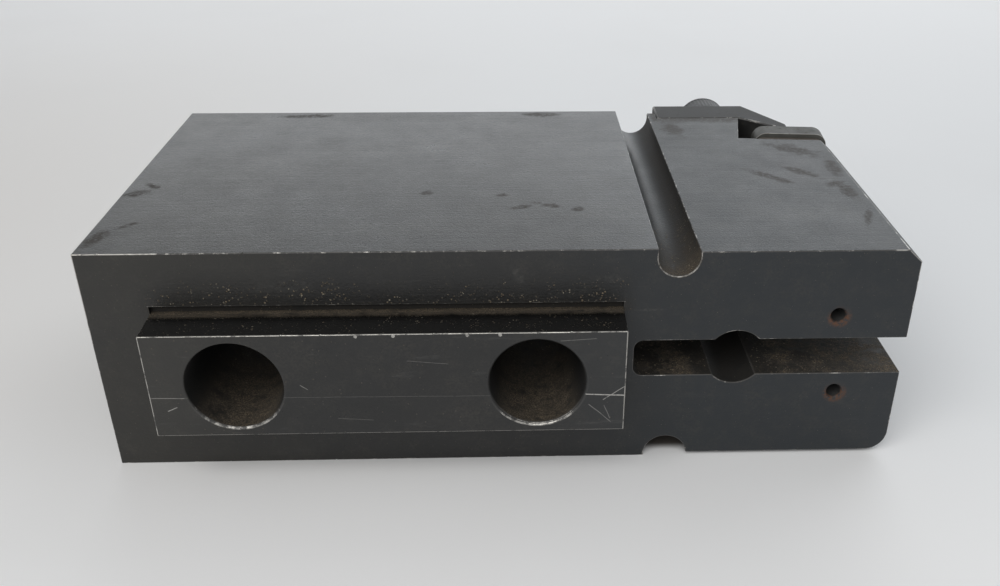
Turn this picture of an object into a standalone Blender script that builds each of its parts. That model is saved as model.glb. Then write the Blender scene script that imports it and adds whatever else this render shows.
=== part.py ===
"""Keyed tool block that carries two indexable inserts, lying on its side.

+X runs from the plain end of the shank to the cutting end, +Y runs from the mounting face to the clamping
side, and +Z is up. Places on the block are given as distances from the shank's plain end, from the mounting
face and from the base; at() turns them into this file's coordinates, whose origin is under the middle of
the whole tool, on the surface it lies on.
"""
import math

import bmesh
import bpy
from mathutils import Matrix, Vector

MM = 0.001
GAP = 0.3 * MM                      # air between pieces that touch
OVERCUT = 2.0 * MM                  # how far a cutter runs past the face it opens

# Block: shank, key and split head
BLOCK_LENGTH = 171.45 * MM
BLOCK_HEIGHT = 50.8 * MM
SHANK_DEPTH = 93.5 * MM             # mounting face to back face
HEAD_DEPTH = 88.9 * MM
HEAD_RELIEF = 0.7 * MM              # head's top and bottom lie this far inside the shank's
SHOULDER_X = 127.9 * MM             # step down to the head's back face; it squares the clamps' heels
KEY_START = 13.0 * MM
KEY_LENGTH = 97.5 * MM
KEY_HEIGHT = 23.6 * MM
KEY_PROUD = 9.5 * MM
CORNER_CUT_HEIGHT = 1.7 * MM        # relief cut into the mounting face along the key
CORNER_CUT_DEPTH = 1.4 * MM
BOLT_HOLE_RADIUS = 9.92 * MM
BOLT_HOLE_X = (30.5 * MM, 92.3 * MM)
UPPER_GROOVE = {"x": 121.4 * MM, "radius": 4.37 * MM, "depth": 6.2 * MM}
LOWER_GROOVE = {"x": 121.2 * MM, "radius": 4.8 * MM, "depth": 5.2 * MM}
SLIT_START = 113.1 * MM
SLIT_HEIGHT = 8.5 * MM
SLIT_CORNER = 2.0 * MM
TAPPED_HOLE_RADIUS = 1.8 * MM
TAPPED_HOLE_DEPTH = 10.0 * MM
TAPPED_HOLES = ((155.9 * MM, 35.2 * MM), (157.6 * MM, 16.5 * MM))   # along X and Z, one on each jaw
TOP_CORNER = (3.0 * MM, 2.7 * MM)   # chamfer at the end of the upper jaw, along X and Z
LOWER_CORNER_RADIUS = 4.6 * MM

# Insert pockets
RAKE_TILT = math.radians(5.0)       # the seat falls away from the shank by this much
INSERT_SIZE = 19.05 * MM
INSERT_THICKNESS = 6.35 * MM
INSERT_CORNER = 3.2 * MM
INSERT_OVERHANG = 0.3 * MM
RAKE_Y = 79.3 * MM                  # rake face at the cutting tip, from the mounting face
SEAT_THICKNESS = 3.175 * MM
SEAT_INSET = 0.9 * MM
SEAT_SCREW_HEAD_RADIUS = 3.8 * MM
SEAT_SCREW_RADIUS = 2.0 * MM
SEAT_SCREW_LENGTH = 10.0 * MM
NOSE_RELIEF = 22.0 * MM             # pocket wall under the clamp nose, from the tip
NOSE_RELIEF_BELOW_RAKE = 3.2 * MM
CORNER_RELIEF_DEPTH = 4.6 * MM

# Clamps
CLAMP_HEEL_X = 128.2 * MM
CLAMP_THICKNESS = 11.1 * MM
CLAMP_WIDTH = 15.2 * MM
CLAMP_CENTRE_Z = 42.5 * MM          # on the upper jaw
CLAMP_BEND_X = 153.6 * MM
CLAMP_UNDERSIDE_END_X = 151.0 * MM
CLAMP_PAD_X = (160.2 * MM, 162.4 * MM)
CLAMP_TIP_HEIGHT = 2.8 * MM
CLAMP_SCREW_X = 144.2 * MM
CLAMP_SCREW_RADIUS = 4.7 * MM
CLAMP_SCREW_REACH = 9.3 * MM        # thread held by the jaw
CLAMP_HEAD_RADIUS = 7.14 * MM
CLAMP_HEAD_HEIGHT = 9.525 * MM
CLAMP_SOCKET = 7.94 * MM            # across flats
SPRING_WIRE = 0.9 * MM
SPRING_RADIUS = 5.5 * MM            # to the middle of the wire
SPRING_TURNS = 4.5
SPRING_POCKET_RADIUS = 6.25 * MM
SPRING_POCKET_DEPTH = 7.0 * MM

# Jaw spreader: a draw screw pulls a taper cone along a bore on the slit
BORE_X = 135.0 * MM
BORE_RADIUS = 6.35 * MM
TAPER_Y = (58.0 * MM, 70.0 * MM)
CONE_START_Y = 52.0 * MM
CONE_TONGUE = (18.0 * MM, 7.5 * MM)  # width across the slit's plane, length along the bore
DRAW_SCREW_RADIUS = 3.15 * MM
DRAW_SCREW_TIP_Y = 50.6 * MM
DRAW_HEAD_RADIUS = 4.76 * MM
DRAW_HEAD_HEIGHT = 6.35 * MM
DRAW_SOCKET = 4.76 * MM
WASHER_RADIUS = 6.8 * MM
WASHER_THICKNESS = 2.4 * MM

MID_Z = BLOCK_HEIGHT / 2
CLAMP_BACK_Y = HEAD_DEPTH + GAP + CLAMP_THICKNESS
OVERALL_LENGTH = BLOCK_LENGTH + INSERT_OVERHANG
OVERALL_DEPTH = KEY_PROUD + CLAMP_BACK_Y + GAP + CLAMP_HEAD_HEIGHT
LEFT_END = -OVERALL_LENGTH / 2
MOUNTING_FACE = KEY_PROUD - OVERALL_DEPTH / 2
SEAT_FLOOR = -(INSERT_THICKNESS + SEAT_THICKNESS + 2 * GAP)   # below the rake face
TIP_Z = BLOCK_HEIGHT - HEAD_RELIEF + INSERT_OVERHANG          # upper insert's top edge

ALONG_Y = (-math.pi / 2, 0, 0)      # turns a piece's own Z axis to +Y


def clear_scene():
    for obj in list(bpy.data.objects):
        bpy.data.objects.remove(obj, do_unlink=True)


def new_collection(name):
    collection = bpy.data.collections.new(name)
    bpy.context.scene.collection.children.link(collection)
    return collection


def new_material(name, colour, metallic, roughness):
    material = bpy.data.materials.new(name)
    material.use_nodes = True
    shader = material.node_tree.nodes["Principled BSDF"]
    shader.inputs["Base Color"].default_value = (*colour, 1.0)
    shader.inputs["Metallic"].default_value = metallic
    shader.inputs["Roughness"].default_value = roughness
    return material


def at(x, y, z):
    """A place on the block, in this file's coordinates."""
    return Vector((LEFT_END + x, MOUNTING_FACE + y, z))


def jaw_z(height, side):
    """A height on the upper jaw (side 1), or the same place on the lower jaw (side -1)."""
    return MID_Z + side * (height - MID_Z)


def add_object(name, mesh, collection, location=(0, 0, 0), rotation=(0, 0, 0), parent=None):
    obj = bpy.data.objects.new(name, mesh)
    collection.objects.link(obj)
    obj.location = location
    obj.rotation_euler = rotation
    obj.parent = parent
    return obj


def part(name, mesh, colour, metallic, roughness, **place):
    mesh.materials.append(new_material(name + "_finish", colour, metallic, roughness))
    return add_object(name, mesh, PARTS, **place)


def cutter(name, mesh, **place):
    obj = add_object(name, mesh, CUTTERS, **place)
    obj.hide_render = True
    obj.display_type = 'WIRE'
    return obj


def combine(obj, other, operation='DIFFERENCE'):
    modifier = obj.modifiers.new(other.name, 'BOOLEAN')
    modifier.operation = operation
    modifier.object = other


def mesh_from(bm, name, smooth=False):
    mesh = bpy.data.meshes.new(name)
    bm.to_mesh(mesh)
    bm.free()
    if smooth:
        mesh.shade_smooth()
        mesh.set_sharp_from_angle(angle=math.radians(35))
    return mesh


def box_mesh(name, low, high, corner=0.0, corner_axis=None, segments=6):
    """A box between two corners, with the four edges along corner_axis rounded if a corner is given."""
    low, high = Vector(low), Vector(high)
    bm = bmesh.new()
    size = Matrix.Diagonal((*(high - low), 1.0))
    bmesh.ops.create_cube(bm, size=1.0, matrix=Matrix.Translation((low + high) / 2) @ size)
    if corner:
        edges = [e for e in bm.edges if abs((e.verts[0].co - e.verts[1].co)[corner_axis]) > 1e-6]
        bmesh.ops.bevel(bm, geom=edges, offset=corner, segments=segments, profile=0.5, affect='EDGES')
    return mesh_from(bm, name, smooth=bool(corner))


def rod_mesh(name, radius, start, end, segments=48, end_radius=None):
    """A cylinder or cone along the mesh's own Z axis."""
    bm = bmesh.new()
    bmesh.ops.create_cone(bm, cap_ends=True, segments=segments, radius1=radius,
                          radius2=radius if end_radius is None else end_radius, depth=end - start,
                          matrix=Matrix.Translation((0, 0, (start + end) / 2)))
    return mesh_from(bm, name, smooth=True)


def hex_mesh(name, across_flats, start, end):
    return rod_mesh(name, across_flats / math.sqrt(3), start, end, segments=6)


def turned(obj, segments=48):
    """Spin an open profile about the object's own Z axis."""
    screw = obj.modifiers.new("Turn", 'SCREW')
    screw.steps = segments
    screw.render_steps = segments
    screw.use_merge_vertices = True
    screw.merge_threshold = 0.00001


def profile_mesh(name, points):
    """A chain of (radius, height) points, from the top of the axis down to its bottom."""
    mesh = bpy.data.meshes.new(name)
    verts = [(radius, 0, height) for radius, height in points]
    edges = [(i, i + 1) for i in range(len(verts) - 1)]
    mesh.from_pydata(verts, edges, [])
    return mesh


def prism_mesh(name, outline, thickness):
    """A flat outline in X and Y, extruded by half the thickness each way along Z, as a mesh."""
    curve = bpy.data.curves.new(name + "_outline", 'CURVE')
    curve.dimensions = '2D'
    curve.fill_mode = 'BOTH'
    curve.extrude = thickness / 2
    spline = curve.splines.new('POLY')
    spline.points.add(len(outline) - 1)
    for point, (x, y) in zip(spline.points, outline):
        point.co = (x, y, 0, 1)
    spline.use_cyclic_u = True
    guide = bpy.data.objects.new(name + "_outline", curve)
    CUTTERS.objects.link(guide)
    evaluated = guide.evaluated_get(bpy.context.evaluated_depsgraph_get())
    bm = bmesh.new()
    bm.from_mesh(bpy.data.meshes.new_from_object(evaluated))
    bpy.data.objects.remove(guide, do_unlink=True)
    bmesh.ops.remove_doubles(bm, verts=bm.verts, dist=0.000001)
    bmesh.ops.recalc_face_normals(bm, faces=bm.faces)
    return mesh_from(bm, name)


def arc(centre, radius, start, end, steps):
    """Points along an arc, angles in degrees."""
    angles = [math.radians(start + (end - start) * i / steps) for i in range(steps + 1)]
    return [(centre[0] + radius * math.cos(a), centre[1] + radius * math.sin(a)) for a in angles]


def cut_hole(body, name, x, z, radius, start, end, segments=48):
    """Cut a round hole along Y, between two distances from the mounting face."""
    mesh = rod_mesh(name, radius, start, end, segments)
    combine(body, cutter(name, mesh, location=at(x, 0, z), rotation=ALONG_Y))


def make_block():
    low, high = at(0, 0, 0), at(BLOCK_LENGTH, SHANK_DEPTH, BLOCK_HEIGHT)
    body = part("tool_block", box_mesh("tool_block", low, high), (0.035, 0.037, 0.04), 0.75, 0.42)

    key_low = at(KEY_START, -KEY_PROUD, MID_Z - KEY_HEIGHT / 2)
    key_high = at(KEY_START + KEY_LENGTH, 1.0 * MM, MID_Z + KEY_HEIGHT / 2)
    combine(body, cutter("mounting_key", box_mesh("mounting_key", key_low, key_high)), 'UNION')
    for side, name in ((1, "upper_corner_cut"), (-1, "lower_corner_cut")):
        edge = MID_Z + side * KEY_HEIGHT / 2
        outer = edge + side * CORNER_CUT_HEIGHT
        start = at(KEY_START, -OVERCUT, min(edge, outer))
        end = at(KEY_START + KEY_LENGTH, CORNER_CUT_DEPTH, max(edge, outer))
        combine(body, cutter(name, box_mesh(name, start, end)))

    for number, x in enumerate(BOLT_HOLE_X, 1):
        cut_hole(body, "bolt_hole_%d" % number, x, MID_Z, BOLT_HOLE_RADIUS,
                 -KEY_PROUD - OVERCUT, SHANK_DEPTH + OVERCUT, 64)
    return body


def shape_head(body):
    """Set the head back from the shank, then cut its grooves, slit, corners and small holes."""
    past_end = BLOCK_LENGTH + OVERCUT
    past_back = SHANK_DEPTH + OVERCUT
    top = BLOCK_HEIGHT - HEAD_RELIEF
    steps = {
        "head_back": (at(SHOULDER_X, HEAD_DEPTH, -OVERCUT), at(past_end, past_back, BLOCK_HEIGHT + OVERCUT)),
        "head_top": (at(UPPER_GROOVE["x"], -OVERCUT, top), at(past_end, past_back, BLOCK_HEIGHT + OVERCUT)),
        "head_base": (at(LOWER_GROOVE["x"], -OVERCUT, -OVERCUT), at(past_end, past_back, HEAD_RELIEF)),
    }
    for name, (low, high) in steps.items():
        combine(body, cutter(name, box_mesh(name, low, high)))

    for name, groove, side in (("upper_groove", UPPER_GROOVE, 1), ("lower_groove", LOWER_GROOVE, -1)):
        radius = groove["radius"]
        centre = jaw_z(BLOCK_HEIGHT - groove["depth"] + radius, side)
        mouth = jaw_z(BLOCK_HEIGHT + OVERCUT, side)
        # the outline is drawn looking along +Y: X across, height up
        bend = arc((0, 0), radius, 180, 360, 20)
        reach = abs(mouth - centre)
        outline = [(x, side * z) for x, z in bend + [(radius, reach), (-radius, reach)]]
        mesh = prism_mesh(name, outline, SHANK_DEPTH + 2 * OVERCUT)
        combine(body, cutter(name, mesh, location=at(groove["x"], SHANK_DEPTH / 2, centre),
                             rotation=(math.pi / 2, 0, 0)))

    low = at(SLIT_START, -OVERCUT, MID_Z - SLIT_HEIGHT / 2)
    high = at(past_end + OVERCUT, past_back, MID_Z + SLIT_HEIGHT / 2)
    combine(body, cutter("jaw_slit", box_mesh("jaw_slit", low, high, corner=SLIT_CORNER, corner_axis=1)))

    across, down = TOP_CORNER
    chamfer = [(across + OVERCUT, -down - OVERCUT * down / across), (across + OVERCUT, OVERCUT),
               (-OVERCUT, OVERCUT), (0, 0)]
    radius = LOWER_CORNER_RADIUS
    fillet = arc((-radius, radius), radius, 0, -90, 12) + [(-radius, -OVERCUT), (OVERCUT, -OVERCUT),
                                                           (OVERCUT, radius)]
    for name, outline, x, z in (("upper_corner", chamfer, BLOCK_LENGTH - across, top),
                                ("lower_corner", fillet, BLOCK_LENGTH, HEAD_RELIEF)):
        mesh = prism_mesh(name, outline, SHANK_DEPTH + 2 * OVERCUT)
        combine(body, cutter(name, mesh, location=at(x, SHANK_DEPTH / 2, z), rotation=(math.pi / 2, 0, 0)))

    for name, (x, z) in zip(("upper_tapped_hole", "lower_tapped_hole"), TAPPED_HOLES):
        cut_hole(body, name, x, z, TAPPED_HOLE_RADIUS, -OVERCUT, TAPPED_HOLE_DEPTH, 24)


def pocket_frame(jaw, side):
    """An empty on the insert's cutting tip: X along the seat, Y out of the rake face, Z up."""
    empty = bpy.data.objects.new(jaw + "_pocket", None)
    PARTS.objects.link(empty)
    empty.location = at(BLOCK_LENGTH + INSERT_OVERHANG, RAKE_Y, jaw_z(TIP_Z, side))
    empty.rotation_euler = (0, 0, -RAKE_TILT)
    return empty


def span(side, near, far):
    """Heights between two distances inward from the tip, low one first."""
    return sorted((-side * near, -side * far))


def make_pocket(body, jaw, side):
    """Cut the pocket, and fit its seat, seat screw and insert."""
    frame = pocket_frame(jaw, side)
    above = HEAD_DEPTH - RAKE_Y + 3 * OVERCUT
    z_low, z_high = span(side, -3 * OVERCUT, INSERT_SIZE + GAP)

    name = jaw + "_insert_pocket"
    mesh = box_mesh(name, (-INSERT_SIZE - GAP, SEAT_FLOOR, z_low), (3 * OVERCUT, above, z_high))
    combine(body, cutter(name, mesh, parent=frame))
    name = jaw + "_nose_relief"
    mesh = box_mesh(name, (-NOSE_RELIEF, -NOSE_RELIEF_BELOW_RAKE, z_low), (3 * OVERCUT, above + OVERCUT, z_high))
    combine(body, cutter(name, mesh, parent=frame))

    # the corner relief's wall leans back a little more than the seat does
    name = jaw + "_corner_relief"
    lean = 1.7 * MM
    relief_floor = SEAT_FLOOR + GAP
    outline = [(-NOSE_RELIEF - lean, relief_floor), (-INSERT_SIZE / 2, relief_floor),
               (-INSERT_SIZE / 2, above + 2 * OVERCUT), (-NOSE_RELIEF + lean / 2, above + 2 * OVERCUT)]
    height = CORNER_RELIEF_DEPTH + 3 * OVERCUT
    middle = sum(span(side, -3 * OVERCUT, CORNER_RELIEF_DEPTH)) / 2
    combine(body, cutter(name, prism_mesh(name, outline, height), location=(0, 0, middle), parent=frame))

    middle = -INSERT_SIZE / 2
    seat_top = SEAT_FLOOR + GAP + SEAT_THICKNESS
    centre = (middle, seat_top, side * middle)
    name = jaw + "_seat_screw"
    screw = part(name, profile_mesh(name, [
        (0, -GAP), (SEAT_SCREW_HEAD_RADIUS - GAP, -GAP), (SEAT_SCREW_RADIUS, -2.1 * MM),
        (SEAT_SCREW_RADIUS, -SEAT_SCREW_LENGTH), (0, -SEAT_SCREW_LENGTH)]), (0.06, 0.06, 0.065), 0.9, 0.4,
        location=centre, rotation=ALONG_Y, parent=frame)
    turned(screw, 32)
    socket = jaw + "_seat_screw_socket"
    combine(screw, cutter(socket, hex_mesh(socket, 2.5 * MM, -1.6 * MM, OVERCUT), location=centre,
                          rotation=ALONG_Y, parent=frame))
    name = jaw + "_seat_screw_hole"
    hole = rod_mesh(name, SEAT_SCREW_RADIUS + GAP, -SEAT_SCREW_LENGTH - GAP, 0, 32)
    combine(body, cutter(name, hole, location=centre, rotation=ALONG_Y, parent=frame))

    near, far = SEAT_INSET, INSERT_SIZE
    low, high = span(side, near, far)
    name = jaw + "_insert_seat"
    mesh = box_mesh(name, (-far, SEAT_FLOOR + GAP, low), (-near, seat_top, high), corner=2.4 * MM, corner_axis=1)
    seat = part(name, mesh, (0.12, 0.11, 0.1), 0.8, 0.45, parent=frame)
    name = jaw + "_seat_countersink"
    countersink = cutter(name, profile_mesh(name, [
        (0, OVERCUT), (SEAT_SCREW_HEAD_RADIUS + GAP, OVERCUT), (SEAT_SCREW_HEAD_RADIUS + GAP, -GAP),
        (SEAT_SCREW_RADIUS + GAP, -2.1 * MM), (SEAT_SCREW_RADIUS + GAP, -5 * MM), (0, -5 * MM)]),
        location=centre, rotation=ALONG_Y, parent=frame)
    turned(countersink, 32)
    combine(seat, countersink)

    low, high = span(side, 0, INSERT_SIZE)
    name = jaw + "_insert"
    mesh = box_mesh(name, (-INSERT_SIZE, -INSERT_THICKNESS, low), (0, 0, high), corner=INSERT_CORNER,
                    corner_axis=1, segments=10)
    part(name, mesh, (0.3, 0.29, 0.26), 0.7, 0.35, parent=frame)


def rake_y(x):
    """The rake face's distance from the mounting face, at a distance along the block."""
    return RAKE_Y + (BLOCK_LENGTH + INSERT_OVERHANG - x) * math.tan(RAKE_TILT)


def make_clamp(body, jaw, side):
    """A strap clamp with its screw and its spring. Its heel lies along the block's shoulder."""
    z = jaw_z(CLAMP_CENTRE_Z, side)
    under = HEAD_DEPTH + GAP
    origin = at(CLAMP_SCREW_X, 0, z)
    pad = [(x, rake_y(x) + GAP) for x in CLAMP_PAD_X]
    corners = [(CLAMP_HEEL_X, under), (CLAMP_UNDERSIDE_END_X, under), *pad,
               (CLAMP_PAD_X[1] + 0.1 * MM, pad[1][1] + CLAMP_TIP_HEIGHT), (CLAMP_BEND_X, CLAMP_BACK_Y),
               (CLAMP_HEEL_X, CLAMP_BACK_Y)]
    name = jaw + "_clamp"
    outline = [(x - CLAMP_SCREW_X, y) for x, y in corners]
    clamp = part(name, prism_mesh(name, outline, CLAMP_WIDTH), (0.04, 0.042, 0.045), 0.75, 0.4, location=origin)
    holes = (("screw_hole", CLAMP_SCREW_RADIUS + GAP, CLAMP_BACK_Y + OVERCUT),
             ("spring_pocket", SPRING_POCKET_RADIUS, under + SPRING_POCKET_DEPTH))
    for name, radius, end in holes:
        cut_hole(clamp, "%s_clamp_%s" % (jaw, name), CLAMP_SCREW_X, z, radius, under - OVERCUT, end, 40)

    thread_end = HEAD_DEPTH - CLAMP_SCREW_REACH
    cut_hole(body, jaw + "_clamp_thread", CLAMP_SCREW_X, z, CLAMP_SCREW_RADIUS + GAP,
             thread_end - 2 * GAP, HEAD_DEPTH + OVERCUT, 40)

    seat = CLAMP_BACK_Y + GAP
    make_socket_screw(jaw + "_clamp_screw", at(CLAMP_SCREW_X, seat, z), CLAMP_HEAD_RADIUS, CLAMP_HEAD_HEIGHT,
                      CLAMP_SCREW_RADIUS, seat - thread_end, CLAMP_SOCKET)

    make_spring(jaw + "_clamp_spring", at(CLAMP_SCREW_X, HEAD_DEPTH, z))


def make_socket_screw(name, seat, head_radius, head_height, shank_radius, shank_length, socket_width):
    """A socket head cap screw, standing on its seat with the head towards +Y."""
    rim = 0.06 * head_height
    screw = part(name, profile_mesh(name, [
        (0, head_height), (head_radius - rim, head_height), (head_radius, head_height - rim),
        (head_radius, 0), (shank_radius, 0), (shank_radius, rim - shank_length),
        (shank_radius - rim, -shank_length), (0, -shank_length)]), (0.05, 0.052, 0.055), 0.85, 0.38,
        location=seat, rotation=ALONG_Y)
    turned(screw)
    socket = cutter(name + "_socket", hex_mesh(name + "_socket", socket_width, head_height / 2,
                                               head_height + OVERCUT), location=seat, rotation=ALONG_Y)
    combine(screw, socket)


def make_spring(name, foot):
    """A compression spring round the screw, between the jaw and the clamp."""
    low = GAP + SPRING_WIRE / 2
    high = SPRING_POCKET_DEPTH - SPRING_WIRE / 2
    per_turn = 14
    count = int(SPRING_TURNS * per_turn) + 1
    curve = bpy.data.curves.new(name, 'CURVE')
    curve.dimensions = '3D'
    curve.bevel_depth = SPRING_WIRE / 2
    curve.bevel_resolution = 1
    curve.use_fill_caps = True
    spline = curve.splines.new('POLY')
    spline.points.add(count - 1)
    for i, point in enumerate(spline.points):
        turn = 2 * math.pi * i / per_turn
        # the wire lies flat for half a turn at each end
        rise = (i - per_turn / 2) / (count - 1 - per_turn)
        height = low + (high - low) * min(max(rise, 0), 1)
        point.co = (SPRING_RADIUS * math.cos(turn), SPRING_RADIUS * math.sin(turn), height, 1)
    obj = add_object(name, curve, PARTS, location=foot, rotation=ALONG_Y)
    curve.materials.append(new_material(name + "_finish", (0.3, 0.3, 0.31), 0.95, 0.35))
    return obj


def make_spreader(body):
    """The bore on the slit, and the cone, draw screw and washer that open the jaws."""
    origin = at(BORE_X, 0, MID_Z)
    straight, small = TAPER_Y
    half_slit = SLIT_HEIGHT / 2
    bore = cutter("spreader_bore", profile_mesh("spreader_bore", [
        (0, small), (half_slit, small), (BORE_RADIUS, straight), (BORE_RADIUS, -OVERCUT), (0, -OVERCUT)]),
        location=origin, rotation=ALONG_Y)
    turned(bore)
    combine(body, bore)

    cone = part("spreader_cone", profile_mesh("spreader_cone", [
        (0, small - 2 * GAP), (half_slit - GAP, small - 2 * GAP), (BORE_RADIUS - GAP, straight),
        (BORE_RADIUS - GAP, CONE_START_Y), (0, CONE_START_Y)]), (0.3, 0.3, 0.31), 0.9, 0.35,
        location=origin, rotation=ALONG_Y)
    turned(cone)
    width, length = CONE_TONGUE
    start, thick = CONE_START_Y + GAP, half_slit - GAP
    tongue = box_mesh("spreader_tongue", (-width / 2, -thick, start), (width / 2, thick, start + length))
    combine(cone, cutter("spreader_tongue", tongue, location=origin, rotation=ALONG_Y), 'UNION')
    thread = rod_mesh("spreader_thread", DRAW_SCREW_RADIUS + GAP, CONE_START_Y - OVERCUT, small, 40)
    combine(cone, cutter("spreader_thread", thread, location=origin, rotation=ALONG_Y))

    foot = HEAD_DEPTH + GAP
    washer = part("spreader_washer", rod_mesh("spreader_washer", WASHER_RADIUS, 0, WASHER_THICKNESS),
                  (0.1, 0.1, 0.105), 0.9, 0.4, location=at(BORE_X, foot, MID_Z), rotation=ALONG_Y)
    washer_hole = rod_mesh("washer_hole", DRAW_SCREW_RADIUS + GAP, -OVERCUT, WASHER_THICKNESS + OVERCUT, 40)
    combine(washer, cutter("washer_hole", washer_hole, location=at(BORE_X, foot, MID_Z), rotation=ALONG_Y))

    seat = foot + WASHER_THICKNESS + GAP
    make_socket_screw("spreader_screw", at(BORE_X, seat, MID_Z), DRAW_HEAD_RADIUS, DRAW_HEAD_HEIGHT,
                      DRAW_SCREW_RADIUS, seat - DRAW_SCREW_TIP_Y, DRAW_SOCKET)


clear_scene()
PARTS = new_collection("tool_block")
CUTTERS = new_collection("cutters")
BLOCK = make_block()
shape_head(BLOCK)
for JAW, SIDE in (("upper", 1), ("lower", -1)):
    make_pocket(BLOCK, JAW, SIDE)
    make_clamp(BLOCK, JAW, SIDE)
make_spreader(BLOCK)
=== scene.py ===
# %% [markdown]
# # A keyed tool block with two clamped inserts
#
# This lesson dresses the imported model of a lathe tool block: a black steel bar with a key on its mounting
# face, a head that is slit into two jaws, and on each jaw an insert held down by a strap clamp.
# The imported model gives the sizes and the moving bodies. Every piece here is built again in finer detail,
# in the same place, and all but the springs ride on the body that their plain twins belong to.

# %% Load the fixed frame
import functools
import math
import random

import bmesh
import bpy
from mathutils import Matrix, Vector


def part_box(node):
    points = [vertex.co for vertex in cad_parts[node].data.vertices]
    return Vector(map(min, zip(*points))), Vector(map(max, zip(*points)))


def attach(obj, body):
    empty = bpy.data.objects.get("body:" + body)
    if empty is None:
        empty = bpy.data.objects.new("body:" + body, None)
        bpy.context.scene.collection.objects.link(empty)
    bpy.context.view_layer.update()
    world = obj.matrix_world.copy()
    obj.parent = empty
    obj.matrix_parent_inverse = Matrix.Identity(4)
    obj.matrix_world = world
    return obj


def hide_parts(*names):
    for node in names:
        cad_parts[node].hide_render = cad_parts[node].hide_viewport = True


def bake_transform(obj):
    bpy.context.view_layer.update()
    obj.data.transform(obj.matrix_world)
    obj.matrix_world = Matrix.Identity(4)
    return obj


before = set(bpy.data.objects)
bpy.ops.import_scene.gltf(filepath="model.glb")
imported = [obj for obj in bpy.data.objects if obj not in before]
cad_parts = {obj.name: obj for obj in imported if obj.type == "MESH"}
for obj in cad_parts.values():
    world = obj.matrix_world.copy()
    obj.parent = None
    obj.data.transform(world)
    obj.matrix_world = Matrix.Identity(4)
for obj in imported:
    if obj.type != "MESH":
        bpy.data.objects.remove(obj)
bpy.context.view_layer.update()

# %% [markdown]
# ## A drawing datum
#
# A machinist measures this block in millimetres from its plain end, its mounting face and its base. The model
# is in metres with its origin under the middle. One point ties the two together: the corner of the block's
# box, moved back by the height of the key. Pieces are built in millimetres from that datum, and a last step
# moves each finished mesh into the model's metres, so that every object stands at the origin.

# %% Tie millimetres from the datum to the model
MM = 0.001
KEY_PROUD = 9.5
BLOCK_LOW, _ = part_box("tool_block")
DATUM = BLOCK_LOW + Vector((0, KEY_PROUD * MM, 0))
TO_MODEL = Matrix.Translation(DATUM) @ Matrix.Scale(MM, 4)
print("datum at", [round(v, 6) for v in DATUM])

# %% [markdown]
# ## Sizes
#
# The numbers of the block's drawing. Heights are from the base. Both jaws are alike, mirrored about the
# slit's middle, so a place on the lower jaw is worked out from the same place on the upper jaw.

# %% Sizes of the block, in millimetres
GAP = 0.3
LENGTH, HEIGHT = 171.45, 50.8
SHANK_DEPTH, HEAD_DEPTH = 93.5, 88.9
HEAD_RELIEF = 0.7
SHOULDER_X = 127.9
KEY = {"x": (13, 110.5), "z": (13.6, 37.2)}
CORNER_CUT = {"height": 1.7, "depth": 1.4}
BOLT_HOLES = {"x": (30.5, 92.3), "radius": 9.92}
GROOVES = {1: {"x": 121.4, "radius": 4.37, "depth": 6.2}, -1: {"x": 121.2, "radius": 4.8, "depth": 5.2}}
SLIT = {"x": 113.1, "z": (21.15, 29.65), "corner": 2}
TAPPED_HOLES = {"at": ((155.9, 35.2), (157.6, 16.5)), "radius": 1.8, "depth": 10}
TOP_CORNER = (3, 2.7)
LOWER_CORNER = 4.6
BORE = {"x": 135, "radius": 6.35, "taper": (58, 70)}
MID_Z = HEIGHT / 2
HEAD_TOP = HEIGHT - HEAD_RELIEF
BOLT_AXES = [(x, MID_Z) for x in BOLT_HOLES["x"]]
JAWS = {"upper": 1, "lower": -1}


def jaw_z(height, side):
    """A height on the upper jaw (side 1), or the same place on the lower jaw (side -1)."""
    return MID_Z + side * (height - MID_Z)


# %% [markdown]
# ## Workshop helpers
#
# Three kinds of stock cover nearly every piece: a box, an outline pushed along the depth, and a profile turned
# about an axis along the depth. bmesh places their vertices exactly. Booleans then drill and mill them, with
# the exact solver, which keeps flat faces flat.

# %% Stock: boxes, prisms and turned shapes
HERE = Matrix.Identity(4)


def stock(name, bm):
    """The bmesh as an object in the scene, still in millimetres from the datum."""
    bmesh.ops.recalc_face_normals(bm, faces=bm.faces)
    mesh = bpy.data.meshes.new(name)
    bm.to_mesh(mesh)
    bm.free()
    obj = bpy.data.objects.new(name, mesh)
    bpy.context.scene.collection.objects.link(obj)
    return obj


def box(name, low, high, frame_at=HERE):
    bm = bmesh.new()
    low, high = Vector(low), Vector(high)
    size = Matrix.Diagonal((*(high - low), 1))
    bmesh.ops.create_cube(bm, size=1, matrix=frame_at @ Matrix.Translation((low + high) / 2) @ size)
    return stock(name, bm)


def prism(name, outline, start, end, axis="y", frame_at=HERE):
    """An outline in X and Z pushed along Y, or with axis "z" an outline in X and Y pushed along Z."""
    bm = bmesh.new()
    rings = []
    for level in (start, end):
        points = [(a, level, b) if axis == "y" else (a, b, level) for a, b in outline]
        rings.append([bm.verts.new(frame_at @ Vector(point)) for point in points])
    count = len(outline)
    for i in range(count):
        j = (i + 1) % count
        bm.faces.new((rings[0][i], rings[0][j], rings[1][j], rings[1][i]))
    bm.faces.new(rings[0])
    bm.faces.new(rings[1][::-1])
    return stock(name, bm)


def skinned(name, bm, rings, segments):
    """Faces between neighbouring rings of vertices and over both ends; a ring may be a single point."""
    for low, high in zip(rings, rings[1:]):
        for i in range(segments):
            j = (i + 1) % segments
            corners = [low[i % len(low)], low[j % len(low)], high[j % len(high)], high[i % len(high)]]
            kept = [v for n, v in enumerate(corners) if v not in corners[:n]]
            if len(kept) > 2:
                bm.faces.new(kept)
    for ring in (rings[0], rings[-1]):
        if len(ring) > 2:
            bm.faces.new(ring)
    return stock(name, bm)


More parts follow.
